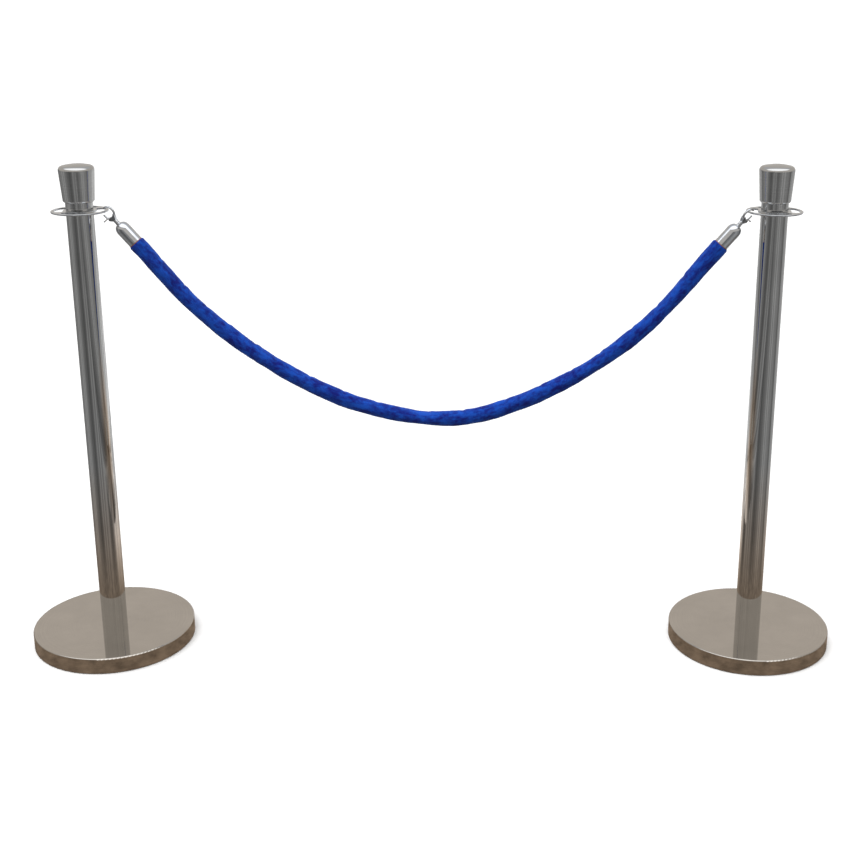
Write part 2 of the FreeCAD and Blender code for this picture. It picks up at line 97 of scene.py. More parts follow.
class MetalSettings(bpy.types.PropertyGroup):
    steel: bpy.props.FloatVectorProperty(
        name="Stainless steel", description="Buffed steel of the posts, plates and crowns", subtype="COLOR",
        default=linear("CBCBCA"), min=0, max=1,
    )
    base_steel: bpy.props.FloatVectorProperty(
        name="Base steel", description="Spun steel of the base covers", subtype="COLOR", default=linear("CFC8BF"),
        min=0, max=1,
    )
    chrome: bpy.props.FloatVectorProperty(
        name="Chrome", description="Plating of the hooks and ferrules", subtype="COLOR", default=linear("D3D6DA"),
        min=0, max=1,
    )
    gloss: bpy.props.FloatProperty(
        name="Roughness", description="Roughness of the best-polished metal", default=0.035, min=0, max=1,
        subtype="FACTOR",
    )


class StudioSettings(bpy.types.PropertyGroup):
    floor: bpy.props.FloatVectorProperty(
        name="Floor", description="Pale floor under the posts", subtype="COLOR", default=linear("FBFBFB"), min=0, max=1
    )
    sky: bpy.props.FloatProperty(name="Sky", description="Even light from all round", default=0.62, min=0)
    key: bpy.props.FloatProperty(name="Key light", description="Soft light from above", default=2.1, min=0)
    lens: bpy.props.FloatProperty(
        name="Lens", description="Focal length of the camera in millimetres", default=56.0, min=1, unit="CAMERA"
    )


# ---------------------------------------------------------------- helpers: materials
def add_node(tree, kind, inputs=None, **settings):
    """One node with its settings.

    An input is found by its name or its number. It takes a value, a colour, a socket, or another node, which
    gives its first output.
    """
    node = tree.nodes.new(kind)
    for name, value in settings.items():
        setattr(node, name, value)
    for key, value in (inputs or {}).items():
        named = (socket for socket in node.inputs if socket.name == key and socket.enabled)
        target = node.inputs[key] if isinstance(key, int) else next(named)
        if isinstance(value, bpy.types.Node):
            value = next(socket for socket in value.outputs if socket.enabled)
        if isinstance(value, bpy.types.NodeSocket):
            tree.links.new(value, target)
        elif target.type == "RGBA":
            target.default_value = (*tuple(value)[:3], 1.0)
        else:
            target.default_value = value
    return node


NOISE, MATH, RANGE, MIX = "ShaderNodeTexNoise", "ShaderNodeMath", "ShaderNodeMapRange", "ShaderNodeMix"
MAPPING, BUMP, JOIN = "ShaderNodeMapping", "ShaderNodeBump", "ShaderNodeCombineXYZ"


def material_tree(name):
    """An empty material and its node tree."""
    material = bpy.data.materials.new(name)
    material.use_nodes = True
    material.node_tree.nodes.clear()
    return material, material.node_tree


def finish_material(tree, inputs):
    """The material's shader with its inputs, wired to its output."""
    shader = add_node(tree, "ShaderNodeBsdfPrincipled", inputs)
    add_node(tree, "ShaderNodeOutputMaterial", {"Surface": shader})


def post_place(tree):
    """Object coordinates measured outwards from the nearer post's axis: across, depth, height and which side."""
    split = add_node(tree, "ShaderNodeSeparateXYZ", {0: add_node(tree, "ShaderNodeTexCoord").outputs["Object"]})
    outwards = add_node(tree, MATH, {0: split.outputs["X"]}, operation="ABSOLUTE")
    across = add_node(tree, MATH, {0: outwards, 1: POST_X}, operation="SUBTRACT")
    return across, split.outputs["Y"], split.outputs["Z"], split.outputs["X"]


def post_radius(tree, across, depth):
    """The distance from the nearer post's axis."""
    flat = add_node(tree, JOIN, {"X": across, "Y": depth})
    return add_node(tree, "ShaderNodeVectorMath", {0: flat}, operation="LENGTH").outputs["Value"]


def darker(colour, share):
    """A colour at a share of its light."""
    return tuple(c * share for c in tuple(colour)[:3])


# ---------------------------------------------------------------- finishes: metals
def buffed_metal(name, colour, grain, smooth, rough, grain_depth):
    """Polished metal whose buffing lines run one way of the post, or round it.

    grain is the size of the lines in metres across, in depth and in height, or "turned" for rings.
    """
    material, tree = material_tree(name)
    across, depth, height, _ = post_place(tree)
    place = add_node(tree, JOIN, {"X": across, "Y": depth, "Z": height})
    if grain == "turned":
        # lathe rings are about 0.4 mm apart; they are drawn 1.5 mm apart, which is as fine as shows
        rings = add_node(tree, JOIN, {"X": post_radius(tree, across, depth), "Z": height})
        lines = add_node(tree, NOISE, {"Vector": rings, "Scale": 1 / (1.5 * MM), "Detail": 3.0})
    else:
        drawn = add_node(tree, MAPPING, {"Vector": place, "Scale": tuple(1 / size for size in grain)})
        lines = add_node(tree, NOISE, {"Vector": drawn, "Scale": 1.0, "Detail": 3.0})
    # polishing leaves hazy patches some 60 mm wide that handling makes duller
    haze = add_node(tree, NOISE, {"Vector": place, "Scale": 1 / (60 * MM), "Detail": 3.0})
    shade = add_node(tree, MIX, {"Factor": 0.4, "A": lines, "B": haze}, data_type="FLOAT")
    clear = add_node(tree, RANGE, {"Value": shade, "From Min": 0.35, "From Max": 0.65})
    hazed = darker(colour, 0.84)
    finish_material(
        tree,
        {
            "Base Color": add_node(tree, MIX, {"Factor": clear, "A": hazed, "B": colour}, data_type="RGBA"),
            "Metallic": 1.0,
            "Roughness": add_node(
                tree, RANGE, {"Value": haze, "From Min": 0.4, "From Max": 0.75, "To Min": smooth, "To Max": rough}
            ),
            "Normal": add_node(tree, BUMP, {"Height": lines, "Distance": grain_depth, "Strength": 0.35}),
        },
    )
    return material


def plated_metal(name, colour, smooth, rough, ripple):
    """Chrome over polished metal: bright, with a faint ripple where the metal under it was not flat."""
    material, tree = material_tree(name)
    place = add_node(tree, "ShaderNodeTexCoord").outputs["Object"]
    # the ripple is about 4 mm from crest to crest
    wave = add_node(tree, NOISE, {"Vector": place, "Scale": 1 / (4 * MM), "Detail": 2.0})
    # fingerprints and rubbing dull patches about 9 mm wide
    wear = add_node(tree, NOISE, {"Vector": place, "Scale": 1 / (9 * MM), "Detail": 4.0})
    dull = add_node(tree, RANGE, {"Value": wear, "From Min": 0.45, "From Max": 0.7})
    worn = darker(colour, 0.88)
    finish_material(
        tree,
        {
            "Base Color": add_node(tree, MIX, {"Factor": dull, "A": colour, "B": worn}, data_type="RGBA"),
            "Metallic": 1.0,
            "Roughness": add_node(tree, RANGE, {"Value": dull, "To Min": smooth, "To Max": rough}),
            "Normal": add_node(tree, BUMP, {"Height": wave, "Distance": ripple, "Strength": 0.5}),
        },
    )
    return material


def plain_metal(name, light, dark, grit, smooth, rough):
    """Metal left as its process left it, with a speckle of one grit size and stains much wider than that."""
    material, tree = material_tree(name)
    place = add_node(tree, "ShaderNodeTexCoord").outputs["Object"]
    speckle = add_node(tree, NOISE, {"Vector": place, "Scale": 1 / grit, "Detail": 4.0})
    stain = add_node(tree, NOISE, {"Vector": place, "Scale": 1 / (grit * 14), "Detail": 3.0})
    mixed = add_node(tree, MIX, {"Factor": 0.6, "A": speckle, "B": stain}, data_type="FLOAT")
    clear = add_node(tree, RANGE, {"Value": mixed, "From Min": 0.35, "From Max": 0.65})
    finish_material(
        tree,
        {
            "Base Color": add_node(
                tree, MIX, {"Factor": clear, "A": linear(dark), "B": linear(light)}, data_type="RGBA"
            ),
            "Metallic": 1.0,
            "Roughness": add_node(tree, RANGE, {"Value": stain, "To Min": smooth, "To Max": rough}),
            "Normal": add_node(tree, BUMP, {"Height": speckle, "Distance": 0.02 * MM, "Strength": 0.6}),
        },
    )
    return material


# ---------------------------------------------------------------- finishes: cloth, rubber and iron
def crushed_velvet(settings):
    """Cotton-backed velvet. Its pile stands up or lies flat in patches, which makes it mottled.

    Velvet throws light back at a glancing angle, so it takes a soft sheen, and its gloss is a dull haze.
    """
    material, tree = material_tree("Crushed cotton velvet")
    coordinates = add_node(tree, "ShaderNodeTexCoord")
    surface = coordinates.outputs["UV"]
    # crushed patches are about 30 mm long and 17 mm wide, and the marks of folds in them 11 mm and 6 mm
    drawn = add_node(tree, MAPPING, {"Vector": surface, "Scale": (0.55, 1.0, 1.0)})
    patches = add_node(tree, NOISE, {"Vector": drawn, "Scale": 1 / (17 * MM), "Detail": 2.0})
    marks = add_node(tree, NOISE, {"Vector": drawn, "Scale": 1 / (6 * MM), "Detail": 4.0, "Roughness": 0.65})
    # the pile's tufts are under 0.5 mm; they are drawn 1.6 mm long and 0.8 mm wide, as fine as shows
    laid = add_node(tree, MAPPING, {"Vector": surface, "Scale": (0.5, 1.0, 1.0)})
    tufts = add_node(tree, NOISE, {"Vector": laid, "Scale": 1 / (0.8 * MM), "Detail": 2.0})
    mixed = add_node(tree, MIX, {"Factor": 0.5, "A": patches, "B": marks}, data_type="FLOAT")
    flat = add_node(tree, RANGE, {"Value": mixed, "From Min": 0.42, "From Max": 0.6})
    colour = add_node(tree, MIX, {"Factor": flat, "A": settings.pile, "B": settings.crushed_pile}, data_type="RGBA")
    # the gaps between the tufts are painted darker, at half the crushed pile's colour: painted shade in the pile
    between = add_node(tree, RANGE, {"Value": tufts, "From Min": 0.35, "From Max": 0.75, "To Max": 0.5})
    fine = add_node(
        tree, MIX, {"Factor": between, "A": colour, "B": darker(settings.crushed_pile, 0.5)}, data_type="RGBA"
    )
    relief = add_node(tree, MIX, {"Factor": 0.3, "A": marks, "B": tufts}, data_type="FLOAT")
    finish_material(
        tree,
        {
            "Base Color": fine,
            "Roughness": add_node(tree, RANGE, {"Value": patches, "To Min": 0.75, "To Max": 1.0}),
            "Specular IOR Level": 0.15,
            "Sheen Weight": 0.4,
            "Sheen Roughness": 0.5,
            "Sheen Tint": linear("86A4CC"),
            "Normal": add_node(tree, BUMP, {"Height": relief, "Distance": 0.9 * MM, "Strength": 0.8}),
        },
    )
    return material


def twisted_binding(settings):
    """A thin rayon cord, laid up of two strands, with a silky shine across its twist and painted shade in the grooves
    between the strands.
    """
    material, tree = material_tree("Twisted rayon cord")
    surface = add_node(tree, "ShaderNodeTexCoord").outputs["UV"]
    # the lay of the strands repeats every 2.4 mm
    strands = add_node(
        tree, "ShaderNodeTexWave", {"Vector": surface, "Scale": 2 * math.pi / 10 / (2.4 * MM), "Distortion": 1.0},
        bands_direction="DIAGONAL",
    ).outputs["Fac"]
    # the grooves between the strands are painted at half the cord's colour: painted shade
    dark = darker(settings.binding, 0.5)
    finish_material(
        tree,
        {
            "Base Color": add_node(tree, MIX, {"Factor": strands, "A": dark, "B": settings.binding}, data_type="RGBA"),
            "Roughness": 0.5,
            "Normal": add_node(tree, BUMP, {"Height": strands, "Distance": 0.15 * MM, "Strength": 0.6}),
        },
    )
    return material


def dusty_solid(name, clean, dirty, grit, patch, relief, smooth, rough):
    """Rubber or rough iron: an even grain of one grit size, and dust or rust in patches."""
    material, tree = material_tree(name)
    place = add_node(tree, "ShaderNodeTexCoord").outputs["Object"]
    grain = add_node(tree, NOISE, {"Vector": place, "Scale": 1 / grit, "Detail": 3.0})
    dirt = add_node(tree, NOISE, {"Vector": place, "Scale": 1 / patch, "Detail": 5.0})
    settled = add_node(tree, RANGE, {"Value": dirt, "From Min": 0.5, "From Max": 0.74})
    finish_material(
        tree,
        {
            "Base Color": add_node(
                tree, MIX, {"Factor": settled, "A": linear(clean), "B": linear(dirty)}, data_type="RGBA"
            ),
            "Roughness": add_node(tree, RANGE, {"Value": grain, "To Min": smooth, "To Max": rough}),
            "Normal": add_node(tree, BUMP, {"Height": grain, "Distance": relief, "Strength": 0.6}),
        },
    )
    return material


# ---------------------------------------------------------------- helpers: pieces
def paint(nodes, material):
    """Gives CAD nodes their finish."""
    for name in nodes:
        mesh = frame["nodes"][name].data
        mesh.materials.clear()
        mesh.materials.append(material)


def both(*names):
    """The names of nodes that both posts have."""
    return [f"{side}_{name}" for side in SIDES for name in names]


def linked_edges(vertices):
    """The edges at some vertices, each once, in the order that the vertices give them."""
    return list(dict.fromkeys(edge for vertex in vertices for edge in vertex.link_edges))


def sort_by_place(elements, place):
    """Puts vertices or faces in the order of their places."""
    ranks = {element: rank for rank, element in enumerate(sorted(elements, key=place))}
    elements.sort(key=ranks.get)


def add_piece(bm, name, material):
    """A finished mesh as a smooth-shaded object at the origin.

    Extruding and spinning leave vertices and faces in an order that changes from run to run, so they are sorted.
    """
    sort_by_place(bm.verts, lambda vertex: tuple(vertex.co))
    sort_by_place(bm.faces, lambda face: tuple(face.calc_center_median()))
    mesh = bpy.data.meshes.new(name)
    bm.to_mesh(mesh)
    bm.free()
    mesh.shade_smooth()
    mesh.materials.append(material)
    piece = bpy.data.objects.new(name, mesh)
    bpy.context.scene.collection.objects.link(piece)
    return piece


# ---------------------------------------------------------------- the rope
# from a swivel to its ferrule's mouth, and how far the rope runs straight out of the mouth
FERRULE_LENGTH = 0.046
ROPE_RUN = 0.048
# how far along the span from the middle, and how high, the rope is between its two ends
ROPE_POINTS = [
    (-0.462, 0.718),
    (-0.388, 0.650),
    (-0.304, 0.589),
    (-0.220, 0.541),
    (-0.140, 0.507),
    (-0.062, 0.487),
    (0.008, 0.4775),
    (0.084, 0.481),
    (0.160, 0.505),
    (0.240, 0.540),
    (0.318, 0.586),
    (0.396, 0.645),
    (0.464, 0.713),
]
LEFT_BAR = Vector(JOINTS["rope_swing"]["pos_m"])
SPAN = Vector(JOINTS["rope_swing"]["axis"])


def rope_mouth(side, further=0.0):
    """The middle of a ferrule's mouth, or a point further out on the ferrule's axis, and the way out."""
    swivel = JOINTS[side + "_hook_swivel"]
    out = -Vector(swivel["axis"])
    return Vector(swivel["pos_m"]) + out * (FERRULE_LENGTH + further), out


def rope_route():
    """The points that the rope's line follows, from the left mouth to the right one."""
    free = []
    for along, height in ROPE_POINTS:
        place = LEFT_BAR + SPAN * (along - LEFT_BAR.x)
        free.append(Vector((place.x, place.y, height)))
    left = [rope_mouth("left")[0], rope_mouth("left", ROPE_RUN)[0]]
    right = [rope_mouth("right", ROPE_RUN)[0], rope_mouth("right")[0]]
    return left + free + right


def smooth_line(points):
    """The points of a NURBS curve drawn through the route."""
    curve = bpy.data.curves.new("rope_line", "CURVE")
    curve.dimensions = "3D"
    curve.resolution_u = 40
    spline = curve.splines.new("NURBS")
    spline.points.add(len(points) - 1)
    for control, point in zip(spline.points, points):
        control.co = (*point, 1.0)
    spline.order_u = 3
    spline.use_endpoint_u = True
    holder = bpy.data.objects.new("rope_line", curve)
    bpy.context.scene.collection.objects.link(holder)
    drawn = bpy.data.meshes.new_from_object(holder)
    line = [vertex.co.copy() for vertex in drawn.vertices]
    bpy.data.objects.remove(holder)
    bpy.data.curves.remove(curve)
    bpy.data.meshes.remove(drawn)
    return line


ROPE_SIDES = 64
# the velvet goes this far into a ferrule, at this radius, and swells to its full size over the shoulder outside
TUCK = 5 * MM
MOUTH_RADIUS = 12.2 * MM
SHOULDER = 4.5 * MM
# the sides of a flattened stretch widen by this share of what its top and bottom lose
WIDENING = 0.45
# bags in the velvet are about 45 mm long, and wrinkles on them 14 mm long and not quite half as deep
BAG_LENGTH = 0.045
WRINKLE_LENGTH = 0.014
WRINKLE_DEPTH = 0.45
# a crease reaches this far round the rope in degrees, is this wide, and has a soft ridge on one side of it;
# at a slant of 1 it runs this far along the rope for every 60 degrees round it
CREASE_REACH = 48
CREASE_WIDTH = 0.0045
CREASE_RUN = 0.012
RIDGE_OFFSET = 0.0085
RIDGE_WIDTH = 0.006
# the seam's groove: its turn round the rope, which is up and back, its depth, and its half width in degrees
SEAM_TURN = 122.0
SEAM_DEPTH = 1.0 * MM
SEAM_WIDTH = 4.5
# pleats at each ferrule: how many, how deep, and how far they fade along the rope
PLEATS = 17
PLEAT_DEPTH = 0.35 * MM
PLEAT_FADE = 0.012
# where the velvet has flattened or swollen: metres from the left mouth, half width, share of the radius
SWELLS = [
    (0.012, 0.02, 0.07),
    (0.07, 0.05, 0.04),
    (0.245, 0.04, 0.04),
    (0.48, 0.03, 0.05),
    (0.655, 0.032, -0.17),
    (0.78, 0.05, 0.03),
    (0.90, 0.03, 0.04),
    (1.01, 0.035, -0.13),
    (1.11, 0.02, 0.05),
    (1.19, 0.022, -0.10),
    (1.31, 0.05, 0.07),
    (1.342, 0.02, 0.07),
]
# short creases where the velvet folds: metres from the left mouth, turn round the rope, slant
CREASES = [
    (0.052, 80, 0.4),
    (0.118, 120, -0.5),
    (0.176, 70, 0.6),
    (0.231, 130, -0.3),
    (0.297, 95, 0.5),
    (0.352, 60, -0.5),
    (0.423, 110, 0.35),
    (0.498, 80, -0.4),
    (0.571, 140, 0.5),
    (0.676, 75, -0.6),
    (0.741, 100, 0.3),
    (0.829, 60, 0.5),
    (0.904, 120, -0.4),
    (0.972, 85, 0.5),
    (1.041, 105, -0.5),
    (1.118, 70, 0.4),
    (1.183, 125, -0.3),
    (1.262, 90, 0.5),
]


# the binding cord's half thickness, the radius of its ring, and how far off the mouth it lies in half thicknesses
BINDING_SIDES = 10
BINDING_STEPS = 96
BINDING_HALF = 0.85 * MM
BINDING_RADIUS = 13.45 * MM
BINDING_CLEARANCE = 1.05


def swell_at(along):
    """The share of its radius that the velvet has swollen by, at a distance along the rope."""
    return sum(share * math.exp(-(((along - middle) / half) ** 2)) for middle, half, share in SWELLS)


def turn_between(first, second):
    """The turn from one direction to another, the short way round, in degrees."""
    return (first - second + 180) % 360 - 180


def velvet_radius(settings, along, length, turn):
    """The velvet's radius at a distance along the rope and a turn round it, 90 degrees being upwards."""
    radius = settings.diameter / 2
    near = min(along, length - along)
    flat = swell_at(along)
    lift = math.sin(math.radians(turn))
    # flattened cloth keeps its girth, so it widens to the sides where it thins from above
    radius *= 1 + flat * (lift**2 - WIDENING * (1 - lift**2))
    # the noise is read on a ring, so that it meets itself round the rope
    around = Vector((math.cos(math.radians(turn)), lift, 0)) * 0.9
    slack = settings.slackness
    radius += slack * noise.noise(Vector((around.x, around.y, along / BAG_LENGTH)))
    wrinkle = Vector((around.x * 2.2, around.y * 2.2, along / WRINKLE_LENGTH + 40))
    radius += WRINKLE_DEPTH * slack * noise.noise(wrinkle)
    for place, middle, slant in CREASES:
        away = turn_between(turn, middle)
        off = along - place - slant * CREASE_RUN * away / 60
        fade = math.exp(-((away / CREASE_REACH) ** 2))
        radius -= 1.1 * slack * fade * math.exp(-((off / CREASE_WIDTH) ** 2))
        radius += 0.6 * slack * fade * math.exp(-(((off - RIDGE_OFFSET) / RIDGE_WIDTH) ** 2))
    # the seam that closes the velvet tube pulls it in
    radius -= SEAM_DEPTH * math.exp(-((turn_between(turn, SEAM_TURN) / SEAM_WIDTH) ** 2))
    # pleats where the velvet is gathered into each ferrule
    radius += PLEAT_DEPTH * math.cos(math.radians(turn) * PLEATS) * math.exp(-near / PLEAT_FADE)
    if near < SHOULDER:
        rise = math.sqrt(1 - (1 - near / SHOULDER) ** 2)
        radius = MOUTH_RADIUS + (radius - MOUTH_RADIUS) * rise
    return radius


class STANCHION_OT_hang_rope(bpy.types.Operator):
    """Hangs the velvet rope between the two ferrules"""

    bl_idname = "stanchion.hang_rope"
    bl_label = "Hang the velvet rope"

    def execute(self, context):
        settings = context.scene.velvet_rope
        line = smooth_line(rope_route())
        steps = [(after - before).length for before, after in zip(line, line[1:])]
        length = sum(steps)
        stations = []
        along = 0.0
        for index, point in enumerate(line):
            before, after = line[max(index - 1, 0)], line[min(index + 1, len(line) - 1)]
            stations.append((point, (after - before).normalized(), along))
            along += steps[index] if index < len(steps) else 0.0
        start, into = stations[0][0], stations[0][1]
        end, out = stations[-1][0], stations[-1][1]
        tucked_left = (start - into * TUCK, into, -TUCK)
        tucked_right = (end + out * TUCK, out, length + TUCK)
        sideways = SPAN.cross(Vector((0, 0, 1))).normalized()

        bm = bmesh.new()
        around = bm.verts.layers.float.new("around")
        lengthways = bm.verts.layers.float.new("lengthways")
        first = bmesh.ops.create_circle(bm, segments=ROPE_SIDES, radius=settings.diameter / 2)["verts"]
        for index, vertex in enumerate(first):
            vertex[around] = index / ROPE_SIDES
        ring = linked_edges(first)
        open_ends = list(ring)
        for index, (point, tangent, place) in enumerate([tucked_left, *stations, tucked_right]):
            if index:
                extruded = bmesh.ops.extrude_edge_only(bm, edges=ring)["geom"]
                ring = [item for item in extruded if isinstance(item, bmesh.types.BMEdge)]
            corners = dict.fromkeys(vertex for edge in ring for vertex in edge.verts)
            upwards = tangent.cross(sideways).normalized()
            if upwards.z < 0:
                upwards.negate()
            for vertex in corners:
                turn = 360 * vertex[around] + SEAM_TURN
                radius = MOUTH_RADIUS
                if 0 <= place <= length:
                    radius = velvet_radius(settings, place, length, turn)
                angle = math.radians(turn)
                vertex.co = point + (sideways * math.cos(angle) + upwards * math.sin(angle)) * radius
                vertex[lengthways] = place
        open_ends += ring
        girth = math.pi * settings.diameter
        uv = bm.loops.layers.uv.new("lay")
        for face in bm.faces:
            wraps = max(corner.vert[around] for corner in face.loops) > 0.9
            for corner in face.loops:
                share = corner.vert[around]
                if wraps and share < 0.1:
                    share += 1
                corner[uv].uv = (corner.vert[lengthways], share * girth)
        bmesh.ops.holes_fill(bm, edges=open_ends, sides=0)
        bmesh.ops.recalc_face_normals(bm, faces=bm.faces)
        velvet = crushed_velvet(settings)
        rope = add_piece(bm, "velvet_rope", velvet)
        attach(rope, "rope")
        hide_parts("rope_cover", "rope_core")

        bindings = [self.bind(side, settings) for side in SIDES]
        return {"FINISHED"}

    def bind(self, side, settings):
        """A ring of twisted cord where the velvet goes into the ferrule."""
        mouth, out = rope_mouth(side)
        bm = bmesh.new()
        around = bm.verts.layers.float.new("around")
        made = bmesh.ops.create_circle(bm, segments=BINDING_SIDES, radius=BINDING_HALF)["verts"]
        for index, vertex in enumerate(made):
            vertex[around] = index / BINDING_SIDES
            vertex.co = Vector((BINDING_RADIUS + vertex.co.x, 0, vertex.co.y))
        bmesh.ops.spin(
            bm, geom=made + linked_edges(made), cent=(0, 0, 0), axis=(0, 0, 1), angle=2 * math.pi, steps=BINDING_STEPS,
            use_merge=True,
        )
        bmesh.ops.remove_doubles(bm, verts=bm.verts, dist=0.001 * MM)
        bmesh.ops.recalc_face_normals(bm, faces=bm.faces)
        uv = bm.loops.layers.uv.new("lay")
        for face in bm.faces:
            turns = [math.atan2(corner.vert.co.y, corner.vert.co.x) for corner in face.loops]
            ways = [corner.vert[around] for corner in face.loops]
            for corner, turn, way in zip(face.loops, turns, ways):
                turn += 2 * math.pi if max(turns) - turn > math.pi else 0
                way += 1 if max(ways) - way > 0.5 else 0
                corner[uv].uv = (turn * BINDING_RADIUS, way * 2 * math.pi * BINDING_HALF)
        facing = out.to_track_quat("Z", "Y").to_matrix().to_4x4()
        placing = Matrix.Translation(mouth + out * BINDING_HALF * BINDING_CLEARANCE) @ facing
        bmesh.ops.transform(bm, matrix=placing, verts=bm.verts)
        ring = add_piece(bm, side + "_mouth_binding", twisted_binding(settings))
        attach(ring, "rope")
        return ring


# ---------------------------------------------------------------- finishes on the CAD nodes
class STANCHION_OT_finish_posts(bpy.types.Operator):
    """Polishes the tubes, and the collars between the plates and the crowns"""

    bl_idname = "stanchion.finish_posts"
    bl_label = "Polish the posts"

    def execute(self, context):
        metal = context.scene.stanchion_metal
        # welded tube is polished along its length, so its lines run from floor to crown
        tube = buffed_metal(
            "Buffed stainless tube", metal.steel, (1.2 * MM, 1.2 * MM, 160 * MM), metal.gloss, metal.gloss + 0.07,
            0.01 * MM,
        )
        paint(both("post_tube"), tube)
        collar = buffed_metal(
            "Turned stainless collar", metal.steel, "turned", metal.gloss, metal.gloss + 0.1, 0.01 * MM
        )
        paint(both("neck_collar"), collar)
        return {"FINISHED"}


class STANCHION_OT_finish_heads(bpy.types.Operator):
    """Polishes the crowns and their slotted plates"""

    bl_idname = "stanchion.finish_heads"
    bl_label = "Polish the crowns and plates"

    def execute(self, context):
        metal = context.scene.stanchion_metal
        # the crowns are spun from sheet, which leaves rings from the roller under the polish
        crown = buffed_metal(
            "Spun stainless crown", metal.steel, "turned", metal.gloss + 0.02, metal.gloss + 0.1, 0.01 * MM
        )
        paint(both("crown_shell"), crown)
        # the plates are cut from sheet, then buffed one way on a wheel
        plate = buffed_metal(
            "Buffed stainless plate", metal.chrome, (30 * MM, 1.0 * MM, 1.0 * MM), metal.gloss + 0.02,
            metal.gloss + 0.14, 0.01 * MM,
        )
        paint(both("ring_plate"), plate)
        return {"FINISHED"}


class STANCHION_OT_finish_bases(bpy.types.Operator):
    """Finishes the base covers, the weights under them and the rubber rings"""

    bl_idname = "stanchion.finish_bases"
    bl_label = "Finish the bases"

    def execute(self, context):
        metal = context.scene.stanchion_metal
        # the covers are spun and buffed on the lathe, so rings run round them
        cover = buffed_metal(
            "Spun stainless cover", metal.base_steel, "turned", metal.gloss, metal.gloss + 0.03, 0.002 * MM
        )
        paint(both("base_cover"), cover)
        # sand-cast iron is dark, with the sand's grain, and it rusts in the hollows
        iron = dusty_solid("Sand-cast iron", "3B3B3C", "5A4032", 1.2 * MM, 22 * MM, 0.25 * MM, 0.62, 0.9)
        paint(both("base_weight"), iron)
        # rubber from a steel mould is matt, with a fine even grain that holds dust
        rubber = dusty_solid("Moulded rubber", "1B1B1C", "3A3836", 0.9 * MM, 25 * MM, 0.08 * MM, 0.6, 0.85)
        paint(both("foot_ring"), rubber)
        return {"FINISHED"}


class STANCHION_OT_finish_hooks(bpy.types.Operator):
    """Plates the hooks, gates and ferrules, and finishes their springs"""

    bl_idname = "stanchion.finish_hooks"
    bl_label = "Plate the hooks and ferrules"

    def execute(self, context):
        metal = context.scene.stanchion_metal
        hooks = plated_metal("Chrome-plated zinc casting", metal.chrome, metal.gloss + 0.03, 0.2, 0.06 * MM)
        paint(both("hook", "gate"), hooks)
        ferrules = plated_metal("Chrome-plated drawn brass", metal.chrome, metal.gloss, 0.14, 0.03 * MM)
        paint(both("ferrule"), ferrules)
        # hard-drawn wire keeps a dark oily skin
        wire = plain_metal("Hard-drawn spring wire", "8A8B8E", "5E5F63", 0.5 * MM, 0.25, 0.4)
        paint(both("gate_spring"), wire)
        return {"FINISHED"}


class STANCHION_OT_finish_fixings(bpy.types.Operator):
    """Finishes the bolts, washers, screws, studs and plugs"""

    bl_idname = "stanchion.finish_fixings"
    bl_label = "Finish the fixings"

    def execute(self, context):
        # zinc plating is a cool grey with a faint spangle under 1 mm wide
        zinc = plain_metal("Zinc-plated steel", "BFC4C8", "8D9397", 0.8 * MM, 0.28, 0.45)
        paint(both("base_bolt", "base_washer", "crown_stud", "swivel_washer") + ["rope_screws"], zinc)
        # the plugs and pins come straight from the lathe, with a film of oil
        turned = plain_metal("Turned mild steel", "A7A6A3", "77767A", 0.6 * MM, 0.22, 0.4)
        paint(both("foot_plug", "head_plug", "crown_insert", "gate_pin"), turned)
        return {"FINISHED"}


# ---------------------------------------------------------------- the studio
# where the camera stands, how far it is tilted up from straight down and turned aside in degrees, and its shift
CAMERA_PLACE = (0.09816, -2.47058, 1.31174)
CAMERA_TILT = 73.259
CAMERA_TURN = 0.281
CAMERA_SHIFT = (-0.0558, -0.0604)
ROOM_RADIUS = 6.0
# the room's floor lies just under the feet, its ceiling just under the top of its wall
ROOM_FLOOR = -0.004
ROOM_CEILING = 5.4
ROOM_HEIGHT = 5.5
STUDIO_RADIUS = 150.0
# the room that the polish mirrors, as a share of a turn round a post and how light it is there
ROOM_BANDS = [
    (0.02, 0.20),
    (0.07, 0.24),
    (0.16, 0.17),
    (0.205, 0.10),
    (0.26, 0.15),
    (0.33, 0.28),
    (0.42, 0.22),
    (0.48, 0.17),
    (0.60, 0.42),
    (0.76, 0.66),
    (0.87, 0.58),
    (0.945, 0.09),
    (0.98, 0.12),
]
# how far the bands round the left post are turned against those round the right one, in radians
LEFT_POST_TURN = -0.8


